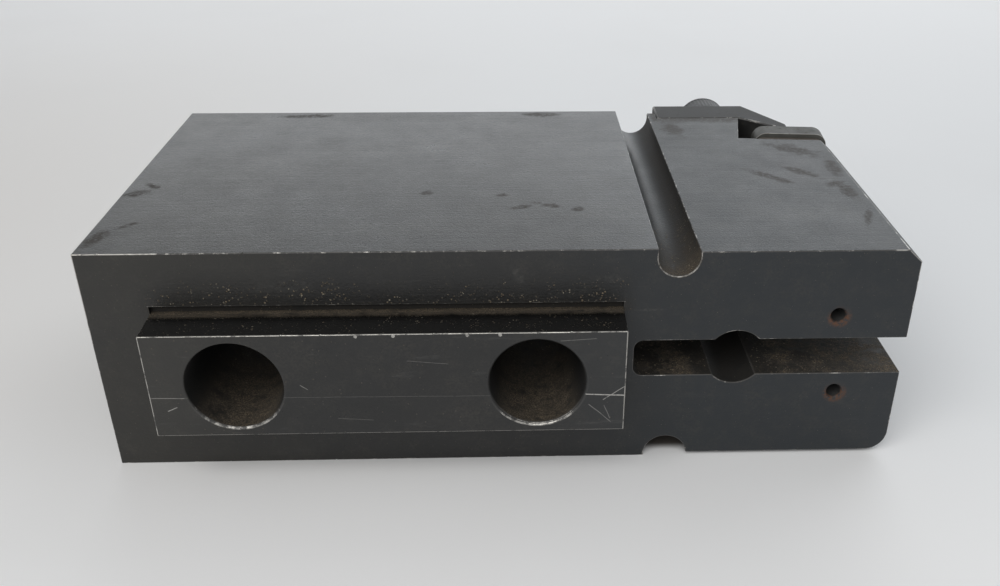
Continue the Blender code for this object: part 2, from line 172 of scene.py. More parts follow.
def turned(name, profile, centre, segments=64, shape=None, frame_at=HERE):
    """A (radius, depth) profile turned about an axis along Y through centre, an (x, z) pair.

    The profile runs from one end to the other. shape(radius, depth, angle) may change the radius, for
    knurls and threads."""
    bm = bmesh.new()
    rings = []
    for radius, depth in profile:
        if radius == 0:
            rings.append([bm.verts.new(frame_at @ Vector((centre[0], depth, centre[1])))])
            continue
        ring = []
        for i in range(segments):
            angle = 2 * math.pi * i / segments
            reach = shape(radius, depth, angle) if shape else radius
            spot = Vector((centre[0] + reach * math.cos(angle), depth, centre[1] + reach * math.sin(angle)))
            ring.append(bm.verts.new(frame_at @ spot))
        rings.append(ring)
    return skinned(name, bm, rings, segments)


def rod(name, radius, start, end, centre, segments=64, point=0, frame_at=HERE):
    """A round bar or drill between two depths; point is the height of the cone at its start."""
    profile = [(0, start - point), (radius, start), (radius, end), (0, end)]
    return turned(name, profile, centre, segments, frame_at=frame_at)


def arc(centre, radius, start, end, steps):
    """Points along an arc, angles in degrees."""
    angles = [math.radians(start + (end - start) * i / steps) for i in range(steps + 1)]
    return [(centre[0] + radius * math.cos(a), centre[1] + radius * math.sin(a)) for a in angles]


# %% [markdown]
# ## Milling, rounding and moving into place
#
# A tool's edges are never razor sharp, and on a used tool the outer edges are where the black finish rubs
# off first. So outer edges get a small real bevel, and the faces it makes are given the piece's second
# material, the worn one. Inner corners stay sharp. The bevel doesn't clamp its overlap, or one short edge
# would thin every bevel of the piece. Smooth shading with face-weighted normals keeps the broad faces flat in
# the light while the narrow bevels turn smoothly.

# %% Apply modifiers, mill, and round outer edges
def apply_modifiers(obj):
    bpy.context.view_layer.update()
    evaluated = obj.evaluated_get(bpy.context.evaluated_depsgraph_get())
    finished = bpy.data.meshes.new_from_object(evaluated)
    obj.modifiers.clear()
    old, obj.data = obj.data, finished
    bpy.data.meshes.remove(old)


def dress(obj, faces, edges=None):
    """Finish the faces, and the edges that will be rounded."""
    for finish in (faces, edges or faces):
        obj.data.materials.append(finish)


def mill(obj, *tools, operation='DIFFERENCE'):
    for tool in tools:
        modifier = obj.modifiers.new(tool.name, 'BOOLEAN')
        modifier.operation = operation
        modifier.object = tool
        modifier.solver = 'EXACT'
    apply_modifiers(obj)
    for tool in tools:
        bpy.data.objects.remove(tool)


def round_edges(obj, width, segments=3, least_angle=30):
    """Bevel the outer edges that turn by more than least_angle; the new faces get material slot 1."""
    bm = bmesh.new()
    bm.from_mesh(obj.data)
    bmesh.ops.remove_doubles(bm, verts=bm.verts, dist=0.002)
    bmesh.ops.dissolve_limit(bm, angle_limit=math.radians(0.4), verts=bm.verts, edges=bm.edges)
    weight = bm.edges.layers.float.new("bevel_weight_edge")
    for edge in bm.edges:
        if edge.is_manifold and edge.is_convex and edge.calc_face_angle() > math.radians(least_angle):
            edge[weight] = 1
    bm.to_mesh(obj.data)
    bm.free()
    bevel = obj.modifiers.new("round", 'BEVEL')
    bevel.limit_method = 'WEIGHT'
    bevel.width = width
    bevel.segments = segments
    bevel.material = 1
    bevel.use_clamp_overlap = False
    apply_modifiers(obj)


def fit(obj, body, slot, *nodes, sharp=40):
    """Move a finished piece from datum millimetres into the model, onto its body, in place of its nodes."""
    obj.data.transform(TO_MODEL)
    obj.data.shade_smooth()
    obj.data.set_sharp_from_angle(angle=math.radians(sharp))
    weighted = obj.modifiers.new("flat faces", 'WEIGHTED_NORMAL')
    weighted.keep_sharp = True
    if body:
        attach(obj, body)
    if nodes:
        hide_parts(*nodes)
    print(f"{obj.name}: {len(obj.data.polygons)} faces")
    return obj


# %% [markdown]
# ## Fields: numbers that vary over a surface
#
# A used finish is mostly a matter of where: where it rubbed through, where dust settled, where oil dried.
# Wiring dozens of Math nodes by hand hides the idea, so a small class wraps a node's output, and ordinary
# arithmetic makes the nodes. Lengths are in millimetres from the datum, measured on the piece itself, so a
# mark stays on its piece when that moves.

# %% A field is a node output that arithmetic can use
def plug(tree, value, entry):
    """Link an input to a field or a socket, or set it to a plain value."""
    if isinstance(value, Field):
        value = value.socket
    if isinstance(value, bpy.types.NodeSocket):
        tree.links.new(value, entry)
    else:
        entry.default_value = value


def add_node(tree, kind, inputs=None, **settings):
    node = tree.nodes.new(kind)
    for key, value in settings.items():
        setattr(node, key, value)
    for key, value in (inputs or {}).items():
        plug(tree, value, node.inputs[key])
    return node


class Field:
    def __init__(self, tree, socket):
        self.tree, self.socket = tree, socket

    def math(self, operation, *others, clamp=False):
        inputs = dict(enumerate((self, *others)))
        node = add_node(self.tree, "ShaderNodeMath", inputs, operation=operation, use_clamp=clamp)
        return Field(self.tree, node.outputs[0])

    def __add__(self, other):
        return self.math('ADD', other)

    def __sub__(self, other):
        return self.math('SUBTRACT', other)

    def __mul__(self, other):
        return self.math('MULTIPLY', other)

    def inverse(self):
        """One minus this field."""
        return (self * -1) + 1

    def clamped(self):
        return self.math('ADD', 0, clamp=True)

    def most(self, other):
        return self.math('MAXIMUM', other)

    def ramp(self, low, high):
        """0 below low and 1 above high, smooth between; low may be the greater."""
        rising = low < high
        inputs = {"Value": self, "From Min": min(low, high), "From Max": max(low, high),
                  "To Min": float(not rising), "To Max": float(rising)}
        node = add_node(self.tree, "ShaderNodeMapRange", inputs, interpolation_type='SMOOTHSTEP')
        return Field(self.tree, node.outputs["Result"])

    def band(self, low, high, soft):
        """1 between low and high, fading over soft on each side."""
        return self.ramp(low - soft, low) * self.ramp(high + soft, high)


# %% [markdown]
# A Finish is a material in the making: the Principled shader, the place on the piece as three fields, the
# patterns that the finishes share, and the colour and roughness as the coats so far have left them. Noise is
# asked for by the size of its blotches, and specks come from Voronoi cells, each with a dot of its own size
# and some of them left out.

# %% A material in the making
class Finish:
    def __init__(self, name):
        self.material = bpy.data.materials.new(name)
        self.material.use_nodes = True
        self.tree = self.material.node_tree
        self.shader = self.tree.nodes["Principled BSDF"]
        spot = self.node("ShaderNodeTexCoord").outputs["Object"]
        shift = self.node("ShaderNodeVectorMath", {0: spot, 1: DATUM}, operation='SUBTRACT')
        scale = self.node("ShaderNodeVectorMath", {0: shift.outputs[0], "Scale": 1 / MM}, operation='SCALE')
        self.place = scale.outputs[0]
        self.x, self.y, self.z = self.split(self.place)
        facing = self.node("ShaderNodeNewGeometry").outputs["Normal"]
        turn = self.node("ShaderNodeVectorTransform", {0: facing}, vector_type='NORMAL',
                         convert_from='WORLD', convert_to='OBJECT')
        self.ny, self.nz = self.split(turn.outputs[0])[1:]

    def node(self, kind, inputs=None, **settings):
        return add_node(self.tree, kind, inputs, **settings)

    def split(self, vector):
        return [Field(self.tree, out) for out in self.node("ShaderNodeSeparateXYZ", {0: vector}).outputs]

    def stretched(self, sizes, offset):
        inputs = {"Vector": self.place, "Scale": [1 / size for size in sizes],
                  "Location": (offset, offset * 0.7, offset * 0.3)}
        return self.node("ShaderNodeMapping", inputs).outputs[0]

    def blotches(self, size, detail=3, roughness=0.5, stretch=(1, 1, 1), offset=0):
        """Noise from 0 to 1 whose blotches are about size mm across."""
        inputs = {"Vector": self.stretched([size * s for s in stretch], offset), "Scale": 1,
                  "Detail": detail, "Roughness": roughness}
        return Field(self.tree, self.node("ShaderNodeTexNoise", inputs).outputs[0])

    def specks(self, spacing, size, share, offset=0):
        """Dots up to size mm across, in a share of the cells that are spacing mm apart."""
        inputs = {"Vector": self.stretched([spacing] * 3, offset), "Scale": 1}
        node = self.node("ShaderNodeTexVoronoi", inputs)
        luck = self.split(node.outputs["Color"])
        away = Field(self.tree, node.outputs["Distance"])
        reach = luck[1].math('POWER', 2) * (0.8 * size / spacing) + 0.2 * size / spacing
        dot = (reach - away).ramp(0, 0.25 * size / spacing)
        return dot * luck[0].ramp(1 - share, 1 - share + 0.01)

    def mix(self, under, over, amount):
        """One colour laid over another; each may be a colour or a socket."""
        low, high = [(*value, 1) if isinstance(value, tuple) else value for value in (under, over)]
        node = self.node("ShaderNodeMix", {"Factor": amount, 6: low, 7: high}, data_type='RGBA')
        return node.outputs[2]

    def blend(self, under, over, amount):
        """One number faded into another."""
        node = self.node("ShaderNodeMix", {0: amount, 2: under, 3: over}, data_type='FLOAT')
        return Field(self.tree, node.outputs[0])

    def hollow(self, reach):
        """1 deep in a corner or a hole, 0 in the open, judged over reach mm."""
        node = self.node("ShaderNodeAmbientOcclusion", {"Distance": reach * MM}, only_local=True, samples=6)
        return Field(self.tree, node.outputs["AO"]).inverse()

    def coat(self, colour, amount, strength=1, rough=None):
        """Lay a colour over the finish so far, and where it lies, its own roughness."""
        self.colour = self.mix(self.colour, colour, amount if strength == 1 else amount * strength)
        if rough is not None:
            self.rough = self.blend(self.rough, rough, amount)

    def finish(self, metallic, depth, ior=1.5):
        """Wire it all to the shader; depth is how far in mm the height reaches."""
        bump = self.node("ShaderNodeBump", {"Strength": 1, "Distance": depth * MM, "Height": self.height})
        made = {"Base Color": self.colour, "Roughness": self.rough, "Metallic": metallic,
                "IOR": ior, "Normal": bump.outputs[0]}
        for name, value in made.items():
            plug(self.tree, value, self.shader.inputs[name])
        return self.material


# %% [markdown]
# ## Black oxide
#
# The block is blacked steel: a satin skin a few thousandths of a millimetre thick over ground faces. It is
# neither paint nor bare metal, so it is very dark, not metallic at all where it is whole, and mirrors strongly
# at low angles. Its finish is built in coats: the skin, then stains and rubs, oil in the hollows darkened
# further with painted shade, grime, dust and rust, and on the bevels bare steel. Each coat is a colour and a
# mask.

# %% Colours of the block's finish
BLACK_SKIN = (0.0085, 0.0088, 0.009)
GREY_SKIN = (0.0145, 0.0146, 0.0146)
WARM_SKIN = (0.0165, 0.0155, 0.0125)
BLUE_SKIN = (0.01, 0.014, 0.018)
BROWN_STAIN = (0.02, 0.014, 0.009)
PALE_SMEAR = (0.07, 0.068, 0.062)
DRIED_OIL = (0.05, 0.045, 0.036)
RUBBED_END = (0.05, 0.05, 0.048)
RUBBED_SKIN = (0.055, 0.055, 0.053)
EDGE_SKIN = (0.055, 0.054, 0.052)
SCRATCHED = (0.4, 0.39, 0.37)
BARE_STEEL = (0.5, 0.485, 0.455)
PAINTED_SHADE = (0.0045, 0.0044, 0.0042)
BLACK_OIL_AND_SHADE = (0.005, 0.005, 0.0048)
WET_OIL = (0.005, 0.005, 0.005)
GRIME = (0.03, 0.024, 0.017)
DUST = (0.2, 0.155, 0.1)
PALE_DUST = (0.3, 0.27, 0.21)
RUST = (0.16, 0.065, 0.026)

# %% [markdown]
# The skin itself varies slowly: warmer towards the plain end, bluer and rougher towards the head, mottled in
# between. Grinding lines are noise stretched along the block. The patterns that later coats need again are
# kept on the finish.

# %% The skin and the patterns that all coats share
def blacked_skin(f):
    broad = f.blotches(38, detail=4, offset=3)
    f.middling = f.blotches(7, detail=5, roughness=0.6, offset=11)
    f.fine = f.blotches(0.45, roughness=0.6, offset=5)
    f.lines = f.blotches(0.5, detail=2, stretch=(60, 1, 1), offset=2)
    f.ragged = f.blotches(2.6, detail=6, roughness=0.7, offset=47) - 0.5
    f.speckled = f.blotches(0.9, detail=4, roughness=0.7, offset=41)
    f.patchy = f.blotches(3.5, detail=5, roughness=0.65, offset=19)
    f.up, f.front = f.nz.ramp(0.5, 0.9), f.ny.ramp(-0.5, -0.9)
    mottle = (broad.ramp(0.35, 0.7) * 0.4 + f.middling.ramp(0.42, 0.75) * 0.4
              + f.fine.ramp(0.3, 0.8) * 0.35)
    f.colour = f.mix(BLACK_SKIN, GREY_SKIN, mottle)
    f.coat(WARM_SKIN, f.x.ramp(75, 10) * broad.ramp(0.3, 0.6) * 0.8)
    f.coat(BLUE_SKIN, f.x.ramp(85, 135) * 0.8)
    f.rough = broad * 0.1 + f.middling * 0.16 + f.fine * 0.22 + f.lines * 0.08 + 0.06
    f.rough = f.rough + f.x.ramp(117, 124) * 0.1


# %% [markdown]
# Coolant and oil left stains where they dried, and cloths left pale smears. Each is an oval on a face, turned
# and given a ragged edge by adding noise to the distance from its middle. Over all of it lies a thin veil of
# dried oil.

# %% Stains, smears and a veil
def any_of(fields):
    return functools.reduce(Field.most, fields)


def smear(f, x, other, along, across, turn, plane="y", ragged=2.4):
    """An oval mark with ragged edges on a face; plane says whether other is its depth or its height."""
    cos, sin = math.cos(math.radians(turn)), math.sin(math.radians(turn))
    dx, dy = f.x - x, (f.y if plane == "y" else f.z) - other
    u, v = (dx * cos + dy * sin) * (1 / along), (dy * cos - dx * sin) * (1 / across)
    return ((u * u + v * v).math('SQRT') + f.ragged * ragged).ramp(1.25, 0.45)


# Marks on the block's top: along the block, depth, half length, half width, turn in degrees
DARK_MARKS = [(148.6, 43.2, 7, 1.5, -46), (157.3, 45.8, 5.8, 1.6, -50), (151.5, 40.4, 3.4, 1.3, -40),
              (165.2, 33.5, 1.8, 6, 8), (163.4, 38, 3, 1.6, 30), (165, 17, 1, 5, -20),
              (68.4, 31.9, 1.7, 1.3, 20), (85.4, 30.3, 1.4, 1, 0), (89.6, 23, 2.8, 1.3, 25),
              (96.4, 23.6, 2.6, 1.2, -20), (101.8, 21.6, 1.8, 1.2, 30), (92.8, 25.4, 1.4, 0.9, 0),
              (3.4, 33, 3.2, 1.8, 30), (5.4, 37.5, 2.4, 1.2, -40), (2.4, 8, 1.6, 5, -10),
              (6.8, 14.5, 2.8, 0.8, 50), (95.8, 90.4, 5, 2, 0), (32, 90, 8, 1.6, 3),
              (131, 79, 2.6, 6.5, 10), (159.5, 62, 7.5, 3, -40), (166, 49, 1.8, 6.5, 0)]
PALE_MARKS = [(90.8, 43.1, 7, 1.2, 2), (62, 12, 18, 4, 0), (116, 60, 2, 12, 6),
              (109, 20, 10, 5, 10), (24, 20, 12, 3, -6), (150, 20, 14, 4, 4),
              (60, 62, 20, 8, 12), (30, 48, 12, 9, 30)]
# Marks on the mounting face, with the height in place of the depth
PALE_FRONT_MARKS = [(107, 44.2, 3.4, 1.1, 0), (99, 41, 4.2, 0.9, 8), (88.5, 45.2, 1, 2.6, 25),
                    (91, 40.2, 3.6, 0.8, -10), (115.5, 37, 3.2, 0.3, 0), (40, 43, 7, 1.4, 3)]


def marks(f):
    top = f.z.ramp(49, 49.6) * f.up
    back_edge = f.x.band(127, 151.5, 1) * (f.y + f.ragged * 9).ramp(83.5, 87.5)
    dark = any_of([smear(f, *mark) for mark in DARK_MARKS] + [back_edge]) * top
    f.coat(BROWN_STAIN, dark * f.speckled.ramp(0.3, 0.55) * 0.9, rough=0.62)
    pale = any_of([smear(f, *mark) for mark in PALE_MARKS]) * top
    pale_front = any_of([smear(f, *mark, plane="z") for mark in PALE_FRONT_MARKS])
    pale_front = pale_front * f.front * f.y.ramp(-1, -0.4)
    cloud = f.blotches(1.3, detail=5, roughness=0.7, offset=43).ramp(0.4, 0.66)
    f.coat(PALE_SMEAR, pale * cloud * 0.3 + pale_front * cloud * 0.45)
    veil = f.blotches(5.5, detail=6, roughness=0.7, offset=53).ramp(0.4, 0.72)
    f.coat(DRIED_OIL, veil * f.fine.ramp(0.35, 0.65) * 0.3)


# %% [markdown]
# The key's face slides in a slot each time the block is mounted, so it is rubbed along its length, most at its
# ends, and scratched. A scratch is a narrow band round a straight line, a little wavy.

# %% The key's rubbed and scratched face
def scratch(f, start, end, half_width, shows):
    """A straight scratch between two (x, z) places on a face towards the mounting side."""
    (x0, z0), (x1, z1) = start, end
    length = math.dist(start, end)
    cos, sin = (x1 - x0) / length, (z1 - z0) / length
    dx, dz = f.x - x0, f.z - z0
    along, off = dx * cos + dz * sin, (dz * cos - dx * sin) + f.ragged * 0.25
    line = off.math('ABSOLUTE').ramp(half_width * 1.8, half_width * 0.6)
    return line * along.band(0, length, 0.3) * shows


# Scratches on the key's face: from, to, half width and how much they show
SCRATCHES = [((102.4, 22.5), (110.3, 22.1), 0.1, 0.9), ((106, 21.2), (110.2, 24.2), 0.07, 0.6),
             ((13.2, 22.9), (20, 22.8), 0.06, 0.45), ((16.4, 19.8), (18.2, 20.6), 0.08, 0.6),
             ((20, 22.8), (110, 22.3), 0.04, 0.16), ((103, 19.9), (105.4, 17.8), 0.06, 0.35),
             ((105.4, 17.8), (107.6, 15.6), 0.06, 0.3), ((106.2, 19.6), (107.4, 16.6), 0.06, 0.3),
             ((44, 25.5), (45.2, 24.6), 0.06, 0.4), ((66, 31), (74, 30.2), 0.04, 0.25),
             ((51, 17.4), (58, 16.9), 0.04, 0.2), ((97, 35.2), (104, 35.6), 0.05, 0.3)]


def rubbed_key(f):
    key_face = f.front * f.y.ramp(-9, -9.3)
    rubs = f.blotches(2.2, detail=5, roughness=0.7, stretch=(7, 1, 1), offset=31).ramp(0.6, 0.78)
    ends = (f.x.ramp(34, 14) + f.x.ramp(86, 109)) * key_face
    f.coat(RUBBED_END, ends * (rubs * 0.6 + 0.4) * 0.35)
    f.coat(RUBBED_SKIN, (key_face * 0.5 + 0.2) * rubs)
    scratches = any_of([scratch(f, *line) for line in SCRATCHES])
    f.coat(SCRATCHED, scratches * key_face * f.speckled.ramp(0.25, 0.5))


# %% [markdown]
# Oil, painted shade, grime and dust belong to places: the slit, the bores, the groove, the key's upper side
# and the cut along its root. Their masks are drawn from the same sizes as the shape, a little wide so that
# they cover the bevels too.

# %% Where dirt gathers on the block
def axis_distance(f, x, z):
    """Distance in mm from an axis that runs along the depth."""
    across, up = f.x - x, f.z - z
    return (across * across + up * up).math('SQRT')


def round_axes(f, axes, radius, soft):
    """1 within a radius of any of the axes."""
    return any_of([axis_distance(f, x, z).ramp(radius + soft, radius) for x, z in axes])


def places(f):
    along_key = f.x.band(KEY["x"][0] - 0.1, KEY["x"][1] + 0.1, 0.1)
    f.slit = f.x.ramp(112.7, 113.2) * f.z.band(21.12, 29.68, 0.08) * f.front.inverse()
    f.bore = axis_distance(f, BORE["x"], MID_Z).ramp(6.7, 6.4)
    f.bolt = round_axes(f, BOLT_AXES, 10.1, 0.25) * f.y.ramp(-9.3, -9)
    f.tapped = round_axes(f, TAPPED_HOLES["at"], TAPPED_HOLES["radius"], 0.1) * f.y.ramp(0.15, 0.4)
    f.groove = axis_distance(f, GROOVES[1]["x"], 48.97).ramp(4.75, 4.45) * f.z.ramp(50.2, 49.6)
    f.ledge = f.up * f.z.band(36.9, 37.4, 0.1) * f.y.ramp(-9.3, -9) * along_key
    f.relief = f.z.band(37, 39, 0.1) * f.y.band(0.02, 1.6, 0.05) * along_key
    f.above_key = (f.front * f.y.ramp(-0.6, -0.2) * f.x.band(14, 110, 4)
                   * f.z.ramp(36.6, 37.2))


# %% [markdown]
# The insides of the holes never caught a cloth: they are dull with black oil, and painted shade darkens them
# further, as it does the back wall of the cut along the key's root and the groove's right wall. The key's
# upper side was wiped by its slot and still wears a wet film. Grease has crept out of the bore, over the slit
# and into its root, and painted shade adds to its darkening round the bore and towards the slit's root. The
# mounting face just above the key is given painted shade, darkest near the key.

# %% Oil, grease and painted shade
def oil_and_painted_shade(f):
    # Painted shade: the mounting face just above the key is darkened, most near the key and fading upward.
    f.coat(PAINTED_SHADE, f.above_key * f.z.ramp(49, 40) * f.patchy.ramp(0.2, 0.5) * 0.7)
    # Black oil with painted shade: the holes, the bore, the back wall of the cut along the key's root and the
    # groove's right wall are darkened.
    oil_and_shade = (f.bolt * 0.9 + f.bore * 0.9 + f.tapped + f.relief * f.up.inverse()
           + f.groove * f.x.ramp(121, 124.5) * 0.6).clamped()
    f.coat(BLACK_OIL_AND_SHADE, oil_and_shade, rough=0.75)
    wet = f.ledge * f.y.ramp(-0.7, -1.7)
    f.coat(WET_OIL, wet)
    f.rough = f.blend(f.rough, 0.24, wet * f.middling.ramp(0.25, 0.4))
    # Grease patches with painted shade: the slit is darkened round the bore's trough and towards its root.
    near_bore = (f.x - BORE["x"]).math('ABSOLUTE').ramp(11, 6)
    creep = f.blotches(5, detail=6, roughness=0.7, offset=61).ramp(0.41, 0.56)
    greasy = near_bore.most(f.x.ramp(124, 114) * 0.6)
    f.greasy = (greasy + creep * 0.9).clamped() * f.slit
    f.coat(BLACK_OIL_AND_SHADE, f.greasy, rough=0.7)


# %% [markdown]
# Dirt comes in three grades: grime, a brown film that dulls the skin; dust, whose grains lie thick near the
# mouths of the openings; and single crumbs. In the slit, the grease with its painted shade hides most of it.
# All three stand a little proud, so they add to the height.

# %% Grime, dust and crumbs
def dirt(f):
    clean = f.greasy.inverse() * 0.85 + 0.15
    film = f.slit * (f.up * 0.65 + 0.35) * clean + f.bore * 0.2 + f.relief * f.up * 0.9
    film = film + f.bolt * (f.z.ramp(23, 17.5) * 0.75) + f.ledge * f.y.ramp(-1.8, -0.5) * 0.7
    film = film + f.groove * (f.y.ramp(30, 1) * 0.8 + f.x.ramp(122, 125.2) * 0.45)
    film = film + f.above_key * f.z.ramp(40.5, 37.5) * 0.3
    film = (film * f.patchy.ramp(0.2, 0.52)).clamped()
    f.coat(GRIME, film, rough=0.8)

    in_slit = f.slit * f.up * clean
    thick = in_slit * (f.y.ramp(24, 0) * 0.6 + f.x.ramp(138, 165) * 0.4 + 0.4)
    thick = thick + f.bolt * f.z.ramp(20.5, 16) * f.y.ramp(34, -6)
    thick = thick + f.groove * f.y.ramp(9, 0) * 0.9
    thick = thick + f.ledge * f.y.ramp(-2.4, -0.8) * 0.7 + f.relief * f.up * 0.7
    grain = f.blotches(0.3, roughness=0.8, offset=13)
    grains = (thick * f.patchy.ramp(0.28, 0.58) * grain.ramp(0.44, 0.64)).clamped()
    f.coat(DUST, grains, 0.8, rough=0.9)

    crowd = (f.above_key * f.z.ramp(48, 38) + f.ledge * 0.5 + f.slit
             + f.groove * f.y.ramp(60, 5) * 0.9 + f.bolt * f.z.ramp(24, 17) * 0.5).clamped()
    cluster = f.blotches(1.6, detail=5, roughness=0.75, offset=67).ramp(0.42, 0.56)
    cluster = f.patchy.ramp(0.42, 0.64) * cluster
    crumbs = f.specks(0.52, 0.27, 0.9, offset=4) * (crowd * (cluster * 0.9 + 0.12)).ramp(0.05, 0.6)
    loose = f.y.ramp(-9, -8) * f.front * 0.35 + 0.2
    crumbs = crumbs.most(f.specks(0.9, 0.18, 0.6, offset=8) * loose)
    shade = f.mix(DUST, PALE_DUST, f.blotches(0.8, offset=29).ramp(0.45, 0.65))
    f.coat(shade, crumbs, 0.75, rough=0.9)
    f.height = (f.fine * 1.5 + f.lines * 0.5 + f.middling * 0.5
                + film * 0.5 + grains * 2 + crumbs * 3)


# %% [markdown]
# Rust rings the tapped holes, thicker below them. The bevels are the skin worn thin with patches of bare
# steel: most at the top front corner of the plain end, round the key and along the groove, least in the slit
# and on the upper rims of the bolt holes.

# %% Rust and wear
def rust(f):
    rings = any_of([axis_distance(f, x + 0.25, z - 0.25).ramp(3, 1.9)
                    * (f.z.ramp(z + 1.6, z - 0.8) * 0.85 + 0.15) for x, z in TAPPED_HOLES["at"]])
    flakes = f.blotches(0.8, detail=4, roughness=0.7, offset=37).ramp(0.38, 0.58)
    f.coat(RUST, rings * f.y.ramp(0.8, 0.3) * flakes, 0.5, rough=0.85)


def corner_distance(f, x, z):
    """Distance in mm from a corner of the mounting face."""
    across, up = f.x - x, f.z - z
    return (across * across + f.y * f.y + up * up).math('SQRT')


def wear(f):
    """Bare steel on the bevels; the answer is how metallic they are."""
    strong = (corner_distance(f, 0, HEIGHT).ramp(26, 4) * 1.6
              + corner_distance(f, LENGTH, 49).ramp(9, 3) * 0.8
              + f.y.ramp(-8.9, -9.25) * 0.75 + f.groove * 0.6).clamped()
    rims = round_axes(f, BOLT_AXES, 10.8, 0.4) * f.y.ramp(-8, -8.4)
    hidden = (rims * f.z.ramp(16, 24) * 0.9).most(f.slit * 0.6)
    patch = f.blotches(2.6, detail=6, roughness=0.75, offset=17) + strong * 0.2
    bare = (patch - (hidden + rims * 0.25) * 0.3).ramp(0.52, 0.66)
    f.coat(EDGE_SKIN, hidden.inverse() * 0.8)
    f.coat(BARE_STEEL, bare, 0.85, rough=0.32)
    return bare * 0.9


# %% The block's finish, on its faces and on its rubbed edges
def block_finish(name, worn):
    f = Finish(name)
    for coat in (blacked_skin, marks, rubbed_key, places, oil_and_painted_shade, dirt, rust):
        coat(f)
    return f.finish(wear(f) if worn else 0, depth=0.045)


BLACKED = block_finish("black_oxide", worn=False)
RUBBED = block_finish("rubbed_edge", worn=True)
print("made", BLACKED.name, "and", RUBBED.name)

# %% [markdown]
# ## Carbide, screws and springs
#
# The small pieces are made of other stuff. Carbide is a dense grey that darkens to brown where coolant has
# dried on it. The clamps are blacked like the block but duller. Screws are a greyer black with a faint shine
# and brown residue in their hollows, and the springs and the cone are bare steel under a film of oil.

# %% Finishes of the small pieces
def small_finish(name, base, shade, residue, metal, rough, share=0.5):
    """A fine-grained finish with slow changes of shade and a share of residue, most in its hollows."""
    f = Finish(name)
    slow = f.blotches(4, detail=4, offset=9)
    fine = f.blotches(0.2, detail=2, offset=3)
    dried = f.blotches(1.5, detail=6, roughness=0.7, offset=21).ramp(0.66 - 0.25 * share, 0.75)
    dried = (dried + f.hollow(1.5).ramp(0.3, 0.8) * share).clamped()
    f.colour = f.mix(base, shade, slow.ramp(0.35, 0.7))
    f.rough = slow * 0.15 + (rough - 0.07)
    f.coat(residue, dried, 0.8, rough=0.8)
    f.height = fine + slow * 0.3
    return f.finish(dried.inverse() * metal, depth=0.015, ior=1.4)


CARBIDE = small_finish("carbide", (0.075, 0.075, 0.069), (0.05, 0.05, 0.045),
                       (0.05, 0.04, 0.03), 0.1, 0.55)
HONED = small_finish("honed_carbide", (0.3, 0.29, 0.27), (0.2, 0.19, 0.17),
                     (0.1, 0.08, 0.06), 0.6, 0.3)
SEAT_CARBIDE = small_finish("seat_carbide", (0.085, 0.072, 0.058), (0.06, 0.05, 0.04),
                            (0.05, 0.035, 0.022), 0.3, 0.5)
CLAMP_BLACK = small_finish("clamp_black", (0.012, 0.012, 0.012), (0.022, 0.022, 0.021), GRIME, 0, 0.58, 0.3)
SCREW_STEEL = small_finish("screw_steel", (0.03, 0.031, 0.033), (0.05, 0.05, 0.052),
                           (0.05, 0.036, 0.024), 0.1, 0.48)
SPRING_STEEL = small_finish("spring_steel", (0.26, 0.255, 0.25), (0.16, 0.155, 0.15), GRIME, 0.9, 0.34)
GROUND_STEEL = small_finish("ground_steel", (0.36, 0.355, 0.345), (0.28, 0.275, 0.265), GRIME, 0.95, 0.3, 0.3)

# %% [markdown]
# ## The block
#
# The block is one piece of steel, so it is one mesh. Its side view holds most of the shape: the grooves over
# and under the jaws' root, the slit with its rounded end, the chamfer and the rounded corner at the cutting
# end. That outline is drawn once and pushed through the depth. The head is thinner than the shank, so the
# lower groove's arc stops at the head's underside. Points closer than 0.12 mm would leave slivers, and are
# dropped. The back step, the key and the holes follow as milling and drilling.

# %% Side view of the block
def side_view():
    up, down = GROOVES[1], GROOVES[-1]
    low, high = SLIT["z"]
    corner = SLIT["corner"]
    across, drop = TOP_CORNER
    points = [(0, 0), (down["x"] - down["radius"], 0)]
    middle = down["depth"] - down["radius"]
    foot = math.degrees(math.asin((HEAD_RELIEF - middle) / down["radius"]))
    points += arc((down["x"], middle), down["radius"], 180, foot, 40)
    points += arc((LENGTH - LOWER_CORNER, HEAD_RELIEF + LOWER_CORNER), LOWER_CORNER, -90, 0, 16)
    points += [(LENGTH, low)]
    points += arc((SLIT["x"] + corner, low + corner), corner, -90, -180, 12)
    points += arc((SLIT["x"] + corner, high - corner), corner, 180, 90, 12)
    points += [(LENGTH, high), (LENGTH, HEAD_TOP - drop), (LENGTH - across, HEAD_TOP)]
    points += [(up["x"] + up["radius"], HEAD_TOP)]
    points += arc((up["x"], HEIGHT - up["depth"] + up["radius"]), up["radius"], 0, -180, 40)
    points += [(up["x"] - up["radius"], HEIGHT), (0, HEIGHT)]
    return [p for n, p in enumerate(points) if math.dist(p, points[n - 1]) > 0.12]


block = prism("block", side_view(), 0, SHANK_DEPTH)
dress(block, BLACKED, RUBBED)
mill(block, box("back_step", (SHOULDER_X, HEAD_DEPTH, -5), (LENGTH + 5, SHANK_DEPTH + 5, HEIGHT + 5)))
start, end = KEY["x"]
low, high = KEY["z"]
mill(block, box("key", (start, -KEY_PROUD, low), (end, 2, high)), operation='UNION')
reliefs = []
for side in JAWS.values():
    edge = jaw_z(high, side)
    below, above = sorted((edge, edge + side * CORNER_CUT["height"]))
    reliefs.append(box("corner_cut", (start, -1, below), (end, CORNER_CUT["depth"], above)))
mill(block, *reliefs)
print("block has", len(block.data.vertices), "vertices before drilling")

# %% [markdown]
# The bolt holes are bored right through, with a light countersink at each end. The bore on the slit narrows
# to a taper for the cone that spreads the jaws. The two small holes at the cutting end are tapped, so their
# profile is a row of rings with a drill point at the bottom. They wait until the outer edges are rounded,
# because a bevel would eat such small teeth.

# %% Bolt holes, tapped holes and the spreader's bore
TAPPING_PITCH = 0.7


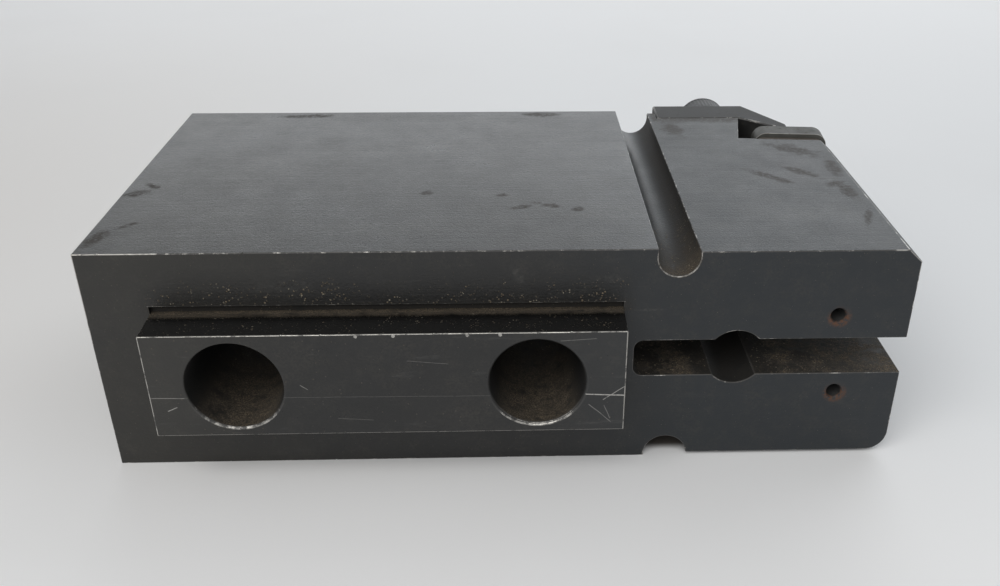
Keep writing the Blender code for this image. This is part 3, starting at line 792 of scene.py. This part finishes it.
def bolt_hole_profile(radius, break_edge):
    front, back = -KEY_PROUD, SHANK_DEPTH
    return [(radius + break_edge + 1, front - 1), (radius, front + break_edge),
            (radius, back - break_edge), (radius + break_edge + 1, back + 1)]


def tapped_profile(radius, depth):
    crest = radius - 0.28
    profile = [(radius + 1, -1), (radius + 0.05, -0.05)]
    for ring in range(int((depth - 1.5) / TAPPING_PITCH)):
        start = 0.15 + ring * TAPPING_PITCH
        profile += [(crest, start + 0.25), (radius, start + 0.6)]
    return profile + [(crest, depth - 0.9), (0, depth)]


holes = [turned("bolt_hole", bolt_hole_profile(BOLT_HOLES["radius"], broken), axis, 128)
         for axis, broken in zip(BOLT_AXES, (0.3, 0.45))]
half_slit = (SLIT["z"][1] - SLIT["z"][0]) / 2
taper_start, taper_end = BORE["taper"]
bore_axis = (BORE["x"], MID_Z)
holes.append(turned("bore", [(BORE["radius"], -2), (BORE["radius"], taper_start), (half_slit, taper_end),
                             (0, taper_end + 0.01)], bore_axis, 96))
mill(block, *holes)
print("drilled", len(holes), "holes")

# %% [markdown]
# ## Insert pockets
#
# Each jaw has a pocket at its outer back corner, tipped back five degrees so that the insert's cutting edge
# leads. Its frame stands on the cutting tip: X along the seat, Y out of the rake face, Z up. Three cuts make
# it: the seat's own square, a shallower relief for the clamp's nose, and a corner relief that leaves room for
# the insert's corner.

# %% Cut the pockets and the holes for the screws
RAKE_TILT = math.radians(5)
RAKE_Y = 79.3
INSERT = {"size": 19.05, "thickness": 6.35, "corner": 3.2, "overhang": 0.3}
SEAT = {"thickness": 3.175, "inset": 0.9}
SEAT_SCREW = {"head": 3.8, "radius": 2, "length": 10, "pitch": 0.7, "socket": 2.5}
SEAT_FLOOR = -(INSERT["thickness"] + SEAT["thickness"] + 2 * GAP)
NOSE_RELIEF = {"length": 22, "below_rake": 3.2}
CORNER_RELIEF = {"depth": 4.6, "lean": 1.7}
CLAMP_SCREW = {"x": 144.2, "z": 42.5, "radius": 4.7, "reach": 9.3}
ABOVE = 16


def pocket_frame(side):
    tip = (LENGTH + INSERT["overhang"], RAKE_Y, jaw_z(HEAD_TOP + INSERT["overhang"], side))
    return Matrix.Translation(tip) @ Matrix.Rotation(-RAKE_TILT, 4, 'Z')


def clamp_axis(side):
    return CLAMP_SCREW["x"], jaw_z(CLAMP_SCREW["z"], side)


def inward(side, near, far):
    """Heights between two distances inward from the tip, low one first."""
    return sorted((-side * near, -side * far))


for side in JAWS.values():
    seat_frame = pocket_frame(side)
    low, high = inward(side, -6, INSERT["size"] + GAP)
    floor = SEAT_FLOOR + GAP
    lean, relief = CORNER_RELIEF["lean"], NOSE_RELIEF["length"]
    middle = -INSERT["size"] / 2
    corner_outline = [(-relief - lean, floor), (middle, floor), (middle, ABOVE), (-relief + lean / 2, ABOVE)]
    corner_low, corner_high = inward(side, -6, CORNER_RELIEF["depth"])
    mill(block,
         box("pocket", (-INSERT["size"] - GAP, SEAT_FLOOR, low), (6, ABOVE, high), seat_frame),
         box("nose_relief", (-relief, -NOSE_RELIEF["below_rake"], low), (6, ABOVE + 1, high), seat_frame),
         prism("corner_relief", corner_outline, corner_low, corner_high, "z", seat_frame),
         rod("seat_screw_hole", SEAT_SCREW["radius"] + GAP, SEAT_FLOOR + 1 - SEAT_SCREW["length"],
             SEAT_FLOOR + 1, (middle, side * middle), 32, 1, seat_frame),
         rod("clamp_thread", CLAMP_SCREW["radius"] + GAP, HEAD_DEPTH - CLAMP_SCREW["reach"] - 2 * GAP,
             HEAD_DEPTH + 2, clamp_axis(side)))
round_edges(block, 0.22)
thread = tapped_profile(TAPPED_HOLES["radius"], TAPPED_HOLES["depth"])
mill(block, *[turned("tapped_hole", thread, spot, 40) for spot in TAPPED_HOLES["at"]])

# %% [markdown]
# A used block has nicks: small dents where it was knocked, along the key's upper front edge and the block's
# long front edges, and four round dimples just under the key's edge. They are cut after the bevels, so that
# the bevels stay even, with one boolean for all of them. The cutters carry the worn finish into the dents.

# %% Nick the edges
def dents(spots):
    """Little balls, each given as a place, a radius and a flatness, as one cutter."""
    bm = bmesh.new()
    for place, radius, flatness in spots:
        turn = Matrix.Rotation(random.uniform(0, math.pi), 4, 'Y')
        turn = turn @ Matrix.Rotation(random.uniform(-0.4, 0.4), 4, 'Z')
        shape = Matrix.Translation(place) @ turn @ Matrix.Diagonal((radius, radius, radius * flatness, 1))
        bmesh.ops.create_icosphere(bm, subdivisions=2, radius=1, matrix=shape)
    obj = stock("dents", bm)
    dress(obj, BLACKED, RUBBED)
    for face in obj.data.polygons:
        face.material_index = 1
    return obj


random.seed(41)
spots = [((x, -KEY_PROUD - 0.62, 36.75), 0.75, 1) for x in (56, 63.5, 78.2, 84.8)]
spots += [((x, -KEY_PROUD - 0.05, KEY["z"][1] + 0.05), random.uniform(0.2, 0.42), random.uniform(0.4, 0.9))
          for x in (17.5, 29, 41.3, 49.2, 71.6, 92.5, 99.1, 106.4)]
spots += [((x, -0.05, HEIGHT + 0.05), random.uniform(0.2, 0.45), random.uniform(0.4, 0.9))
          for x in (2.2, 5.1, 9.4, 15.8, 33.7, 58.9, 77.3, 88.2, 101.5, 112.8)]
spots += [((x, -0.05, HEAD_TOP + 0.05), random.uniform(0.2, 0.4), 0.6) for x in (127.5, 139.2, 151.7, 160.3)]
spots += [((KEY["x"][1] + 0.05, -KEY_PROUD - 0.05, z), random.uniform(0.2, 0.4), 0.7)
          for z in (16.2, 22.6, 27.9, 33.1)]
spots += [((x, -0.05, -0.05), random.uniform(0.3, 0.45), 0.6) for x in (24, 47.5, 86)]
mill(block, dents(spots))
fit(block, "block", "block_steel", "tool_block")

# %% [markdown]
# ## Inserts and their seats
#
# An insert is a square tile of carbide with rounded corners and a hair-thin honed edge. It stands on a carbide
# seat, a thinner tile that spares the block when an insert breaks, and a countersunk screw holds the seat. A
# rounded square pushed through its thickness makes both tiles.

# %% Insert, seat and seat screw on each jaw
def rounded_square(near, far, side, corner, steps=12):
    """A square between two distances back from the tip, and the same distances inward."""
    low, high = inward(side, near, far)
    left, right = -far + corner, -near - corner
    low, high = low + corner, high - corner
    return (arc((right, low), corner, -90, 0, steps) + arc((right, high), corner, 0, 90, steps)
            + arc((left, high), corner, 90, 180, steps) + arc((left, low), corner, 180, 270, steps))


def threaded(radius, start, end, pitch):
    """Bends a turned shape's radius into a thread between two depths."""
    def shape(r, depth, angle):
        if not start < depth < end or r < 0.5 * radius:
            return r
        phase = (depth / pitch - angle / (2 * math.pi)) % 1
        return r - 0.55 * pitch * min(abs(2 * phase - 1) * 1.25, 1)
    return shape


def rows(radius, start, end, pitch, per_turn=6):
    """Profile points close enough together to carry a thread."""
    count = max(2, int((end - start) / pitch * per_turn))
    return [(radius, start + (end - start) * i / count) for i in range(count + 1)]


for jaw, side in JAWS.items():
    seat_frame = pocket_frame(side)
    outline = rounded_square(0, INSERT["size"], side, INSERT["corner"])
    insert = prism(jaw + "_carbide_insert", outline, -INSERT["thickness"], 0, frame_at=seat_frame)
    dress(insert, CARBIDE, HONED)
    round_edges(insert, 0.12, segments=2)
    fit(insert, jaw + "_tip", "carbide", jaw + "_insert")

    floor = SEAT_FLOOR + GAP
    top = floor + SEAT["thickness"]
    centre = (-INSERT["size"] / 2, -side * INSERT["size"] / 2)
    outline = rounded_square(SEAT["inset"], INSERT["size"], side, 2.4)
    seat = prism(jaw + "_carbide_seat", outline, floor, top, frame_at=seat_frame)
    dress(seat, SEAT_CARBIDE)
    head, radius = SEAT_SCREW["head"], SEAT_SCREW["radius"]
    mill(seat, turned("countersink", [(0, floor - 1), (radius + GAP, floor - 1), (radius + GAP, top - 2.1),
                                      (head + GAP, top - GAP), (head + GAP, top + 1), (0, top + 1)],
                      centre, 64, frame_at=seat_frame))
    round_edges(seat, 0.15)
    fit(seat, "block", "seat_carbide", jaw + "_insert_seat")

    tip, face, rim = top - SEAT_SCREW["length"], top - GAP, head - GAP
    pitch = SEAT_SCREW["pitch"]
    profile = [(0, tip), (radius - 0.5, tip)] + rows(radius, tip + 0.5, top - 2.4, pitch)
    profile += [(rim, face - 0.25), (rim, face - 0.05), (rim - 0.1, face), (0, face)]
    thread = threaded(radius, tip + 0.6, top - 2.5, pitch)
    screw = turned(jaw + "_seat_pin", profile, centre, 48, thread, seat_frame)
    dress(screw, SCREW_STEEL)
    mill(screw, rod("hex_socket", SEAT_SCREW["socket"] / math.sqrt(3), top - 1.5, top + 1,
                    centre, 6, 0.1, seat_frame))
    fit(screw, "block", "screw_steel", jaw + "_seat_screw")

# %% [markdown]
# ## Strap clamps
#
# A strap clamp is a short bar: its heel lies against the block's shoulder, its screw pulls it down in the
# middle, and its nose presses on the insert. Seen from above it is a bar with a sloping back, so its outline
# is drawn in X and Y and pushed along Z. A pocket round the screw hole keeps the spring.

# %% Both clamps
CLAMP = {"heel": 128.2, "thickness": 11.1, "width": 15.2, "bend": 153.6, "under_end": 151,
         "pad": (160.2, 162.4), "tip": 2.8}
SPRING = {"wire": 0.9, "radius": 5.5, "turns": 4.5, "pocket_radius": 6.25, "pocket_depth": 7}
CLAMP_UNDER = HEAD_DEPTH + GAP
CLAMP_BACK = CLAMP_UNDER + CLAMP["thickness"]


def rake_y(x):
    """The rake face's depth at a distance along the block."""
    return RAKE_Y + (LENGTH + INSERT["overhang"] - x) * math.tan(RAKE_TILT)


def clamp_outline():
    first, last = [(x, rake_y(x) + GAP) for x in CLAMP["pad"]]
    return [(CLAMP["heel"], CLAMP_UNDER), (CLAMP["under_end"], CLAMP_UNDER), first, last,
            (last[0] + 0.1, last[1] + CLAMP["tip"]), (CLAMP["bend"], CLAMP_BACK), (CLAMP["heel"], CLAMP_BACK)]


for jaw, side in JAWS.items():
    z = jaw_z(CLAMP_SCREW["z"], side)
    clamp = prism(jaw + "_strap_clamp", clamp_outline(), z - CLAMP["width"] / 2, z + CLAMP["width"] / 2, "z")
    dress(clamp, CLAMP_BLACK, RUBBED)
    hole, pocket = CLAMP_SCREW["radius"] + GAP, SPRING["pocket_radius"]
    floor = CLAMP_UNDER + SPRING["pocket_depth"]
    mill(clamp, turned("spring_pocket", [(0, CLAMP_UNDER - 1), (pocket, CLAMP_UNDER - 1), (pocket, floor),
                                         (hole, floor), (hole, CLAMP_BACK + 1), (0, CLAMP_BACK + 1)],
                       clamp_axis(side), 80))
    round_edges(clamp, 0.45)
    fit(clamp, jaw + "_clamp_strap", "clamp_steel", jaw + "_clamp")

# %% [markdown]
# ## Socket head cap screws
#
# The clamp screws and the spreader's draw screw are the same kind: a knurled round head with a hexagon socket,
# and a threaded shank. The screw is turned as one profile whose radius also depends on the angle. That gives
# a true helical thread and straight knurls without any boolean, and only the socket is cut afterwards.

# %% Clamp screws and draw screw
def cap_screw(name, centre, seat, radius, length, size, knurls=48):
    """A cap screw that stands on seat with its head towards +Y; size holds its head, socket and pitch."""
    head_radius, height = size["head"]
    socket, pitch = size["socket"], size["pitch"]
    tip, top = seat - length, seat + height
    ease = 0.06 * height
    thread = threaded(radius, tip + ease, seat - 0.8, pitch)
    knurl_low, knurl_high = seat + 0.16 * height, top - 0.14 * height

    def shape(r, depth, angle):
        if knurl_low < depth < knurl_high and r > 0.9 * head_radius:
            return r - 0.16 * (0.5 - 0.5 * math.cos(knurls * angle))
        return thread(r, depth, angle)

    profile = [(0, tip), (radius - 0.55 * pitch, tip)] + rows(radius, tip + 0.5 * pitch, seat - 0.7, pitch)
    profile += [(radius, seat), (head_radius - 0.4 * ease, seat)]
    profile += [(head_radius, depth) for depth in (seat + 0.5 * ease, knurl_low, knurl_low + 0.05,
                                                   knurl_high - 0.05, knurl_high, top - 1.1 * ease)]
    profile += [(head_radius - 0.3 * ease, top - 0.35 * ease), (head_radius - ease, top), (0, top)]
    screw = turned(name, profile, centre, knurls * 3, shape)
    dress(screw, SCREW_STEEL)
    flat = socket / math.sqrt(3)
    mouth = [(0, top - 0.8), (socket / 2 - 0.1, top - 0.55), (flat + 0.15, top + 0.02),
             (flat + 0.15, top + 1), (0, top + 1)]
    mill(screw, rod("socket", flat, top - 0.5 * height, top + 1, centre, 6, 1),
         turned("socket_mouth", mouth, centre, 64))
    return screw


THREE_EIGHTHS = {"head": (7.14, 9.525), "socket": 7.94, "pitch": 1.5875}
QUARTER = {"head": (4.76, 6.35), "socket": 4.76, "pitch": 1.27}
CLAMP_SEAT = CLAMP_BACK + GAP
for jaw, side in JAWS.items():
    screw = cap_screw(jaw + "_cap_screw", clamp_axis(side), CLAMP_SEAT, CLAMP_SCREW["radius"],
                      CLAMP_SEAT - HEAD_DEPTH + CLAMP_SCREW["reach"], THREE_EIGHTHS)
    fit(screw, jaw + "_screw", "screw_steel", jaw + "_clamp_screw")

WASHER = {"radius": 6.8, "thickness": 2.4}
DRAW_SCREW = {"radius": 3.15, "tip_y": 50.6}
DRAW_SEAT = HEAD_DEPTH + GAP + WASHER["thickness"] + GAP
screw = cap_screw("draw_screw", bore_axis, DRAW_SEAT, DRAW_SCREW["radius"],
                  DRAW_SEAT - DRAW_SCREW["tip_y"], QUARTER, knurls=36)
fit(screw, "spreader_draw", "screw_steel", "spreader_screw")

# %% [markdown]
# ## The spreader: cone and washer
#
# The draw screw pulls a cone into the tapered end of the bore, which springs the jaws apart by a few tenths
# of a millimetre. A flat tongue across the cone rides in the slit and keeps it from turning. The washer lets
# the screw's head bridge the slit.

# %% Cone and washer
CONE = {"start": 52, "tongue": (18, 7.5)}
wide, narrow = BORE["radius"] - GAP, half_slit - GAP
start, small_end = CONE["start"], taper_end - 2 * GAP
cone = turned("taper_cone", [(0, start), (wide - 0.3, start), (wide, start + 0.3), (wide, taper_start),
                             (narrow, small_end), (0, small_end)], bore_axis, 96)
dress(cone, GROUND_STEEL)
width, length = CONE["tongue"]
mill(cone, box("tongue", (BORE["x"] - width / 2, start + GAP, MID_Z - narrow),
               (BORE["x"] + width / 2, start + GAP + length, MID_Z + narrow)), operation='UNION')
clear = DRAW_SCREW["radius"] + GAP
mill(cone, rod("cone_thread", clear, start - 1, small_end + 1, bore_axis))
round_edges(cone, 0.15)
fit(cone, "spreader_plug", "ground_steel", "spreader_cone")

foot = HEAD_DEPTH + GAP
washer = rod("bridge_washer", WASHER["radius"], foot, foot + WASHER["thickness"], bore_axis, 80)
dress(washer, SCREW_STEEL, RUBBED)
mill(washer, rod("washer_hole", clear, foot - 1, foot + 4, bore_axis))
round_edges(washer, 0.2)
fit(washer, "block", "screw_steel", "spreader_washer")

# %% [markdown]
# ## Clamp springs
#
# A coil spring under each clamp lifts it off the insert as the screw is backed out. The wire is a ring of
# points carried along a helix that lies flat for half a turn at each end. Its lower end sits on the block and
# its upper end under the clamp; the spring is attached to no body and stays where it is built.

# %% Both springs
def coil(name, centre, foot, around=12, per_turn=28):
    wire, radius = SPRING["wire"] / 2, SPRING["radius"]
    low, high = foot + GAP + wire, foot + SPRING["pocket_depth"] - wire
    count = int(SPRING["turns"] * per_turn)
    bm = bmesh.new()
    rings = []
    for i in range(count + 1):
        turn = 2 * math.pi * i / per_turn
        rise = min(max((i - per_turn / 2) / (count - per_turn), 0), 1)
        out = Vector((math.cos(turn), 0, math.sin(turn)))
        middle = Vector((centre[0], low + (high - low) * rise, centre[1])) + out * radius
        rings.append([bm.verts.new(middle + wire * (out * math.cos(a) + Vector((0, math.sin(a), 0))))
                      for a in (2 * math.pi * n / around for n in range(around))])
    return skinned(name, bm, rings, around)


for jaw, side in JAWS.items():
    centre = clamp_axis(side)
    spring = coil(jaw + "_coil_spring", centre, HEAD_DEPTH)
    spring.data.materials.append(SPRING_STEEL)
    fit(spring, None, "spring_steel", jaw + "_clamp_spring")
    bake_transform(spring)

# %% [markdown]
# ## Floor, light and camera
#
# The block lies on a pale grey sheet whose colour carries painted light. Its tint runs from warm at the plain
# end to cool at the head, as light from two windows of unlike colour would tint it. It is painted paler far
# behind, as a pool of light, and just in front, where the paleness cancels the block's shadow, and a painted
# shadow darkens it where the lower groove stands over it.

# %% Floor with painted light and shadow
def floor_with_painted_light():
    f = Finish("floor_with_painted_light")
    warm, cool, pale = (0.735, 0.722, 0.708), (0.8, 0.815, 0.83), (0.9, 0.905, 0.912)
    # Painted light: a warm tint at the plain end turning cool at the head.
    f.colour = f.mix(warm, cool, f.x.ramp(-120, 140))
    # Painted light: paler far behind, and just in front where it cancels the block's shadow.
    f.coat(pale, (f.y.ramp(120, 520) + f.y.ramp(40, -40) * f.y.ramp(-600, -60)) * 0.85)
    # Painted shadow: a dark patch on the floor under the lower groove's tunnel beneath the block.
    painted_shadow, cloud = (0.1, 0.09, 0.08), (0.62, 0.61, 0.6)
    f.coat(painted_shadow, f.x.band(114, 128, 3) * f.y.band(5, 82, 3))
    f.coat(cloud, f.blotches(120).ramp(0.45, 0.75) * 0.06)
    f.height = f.blotches(0.8, roughness=0.7)
    f.rough = f.height * 0.1 + 0.6
    return f.finish(0, depth=0.02)


sheet = bmesh.new()
bmesh.ops.create_grid(sheet, x_segments=24, y_segments=24, size=2.5)
floor = bpy.data.objects.new("floor", bpy.data.meshes.new("floor"))
sheet.to_mesh(floor.data)
sheet.free()
bpy.context.scene.collection.objects.link(floor)
floor.data.materials.append(floor_with_painted_light())

# %% [markdown]
# Black steel shows mostly what it mirrors, so the lights are placed for the reflections. A wide low panel
# behind the block is what its top mirrors, and makes it read as mid grey. A warmer panel in front and above
# lights the mounting face, which still stays nearly black. A third, behind and to the right, brightens the
# far floor. A dim room fills the shadows.

# %% Soft lights
def soft_panel(name, spot, target, size, radiance, colour):
    """A wide area light at spot, facing target, as bright as radiance wherever it is seen or mirrored."""
    light = bpy.data.lights.new(name, 'AREA')
    light.shape = 'RECTANGLE'
    light.size, light.size_y = size
    light.energy = radiance * math.pi * size[0] * size[1]
    light.color = colour
    panel = bpy.data.objects.new(name, light)
    bpy.context.scene.collection.objects.link(panel)
    panel.location = spot
    panel.rotation_euler = (Vector(target) - Vector(spot)).to_track_quat('-Z', 'Y').to_euler()
    panel.visible_camera = False


soft_panel("back_panel", (0.26, 1.35, 0.42), (0.05, 0, 0.1), (2.3, 0.62), 1.45, (0.95, 0.98, 1.0))
soft_panel("front_panel", (-0.40, -1.05, 1.05), (0, 0, 0), (1.7, 1.3), 2.9, (1.0, 0.98, 0.95))
soft_panel("far_panel", (0.85, 1.25, 1.20), (0.4, 0.85, 0), (1.6, 0.7), 1.7, (0.94, 0.97, 1.0))
world = bpy.data.worlds.new("room")
world.use_nodes = True
sky = world.node_tree.nodes["Background"]
sky.inputs["Color"].default_value = (0.93, 0.96, 1, 1)
sky.inputs["Strength"].default_value = 0.27
bpy.context.scene.world = world
bpy.context.scene.view_settings.view_transform = 'Standard'

# %% [markdown]
# The camera looks down on the block from a little left of its middle, at about thirty degrees. Its place is
# in datum millimetres like everything else, and the shift moves the picture without tipping the uprights.

# %% Camera
EYE = Vector((86.734, -190.459, 136.672))
LOOK_DOWN, LOOK_ASIDE, ROLL = 0.534, -0.0381, 0.0063
camera_data = bpy.data.cameras.new("camera")
camera_data.lens, camera_data.sensor_width = 37.265, 36
camera_data.shift_x, camera_data.shift_y = -0.0443, 0.0722
camera_data.clip_start, camera_data.clip_end = 0.01, 20
camera = bpy.data.objects.new("camera", camera_data)
bpy.context.scene.collection.objects.link(camera)
look = (Matrix.Rotation(LOOK_ASIDE, 4, 'Z') @ Matrix.Rotation(math.pi / 2 - LOOK_DOWN, 4, 'X')
        @ Matrix.Rotation(ROLL, 4, 'Z'))
camera.matrix_world = Matrix.Translation(TO_MODEL @ EYE) @ look
bpy.context.scene.camera = camera
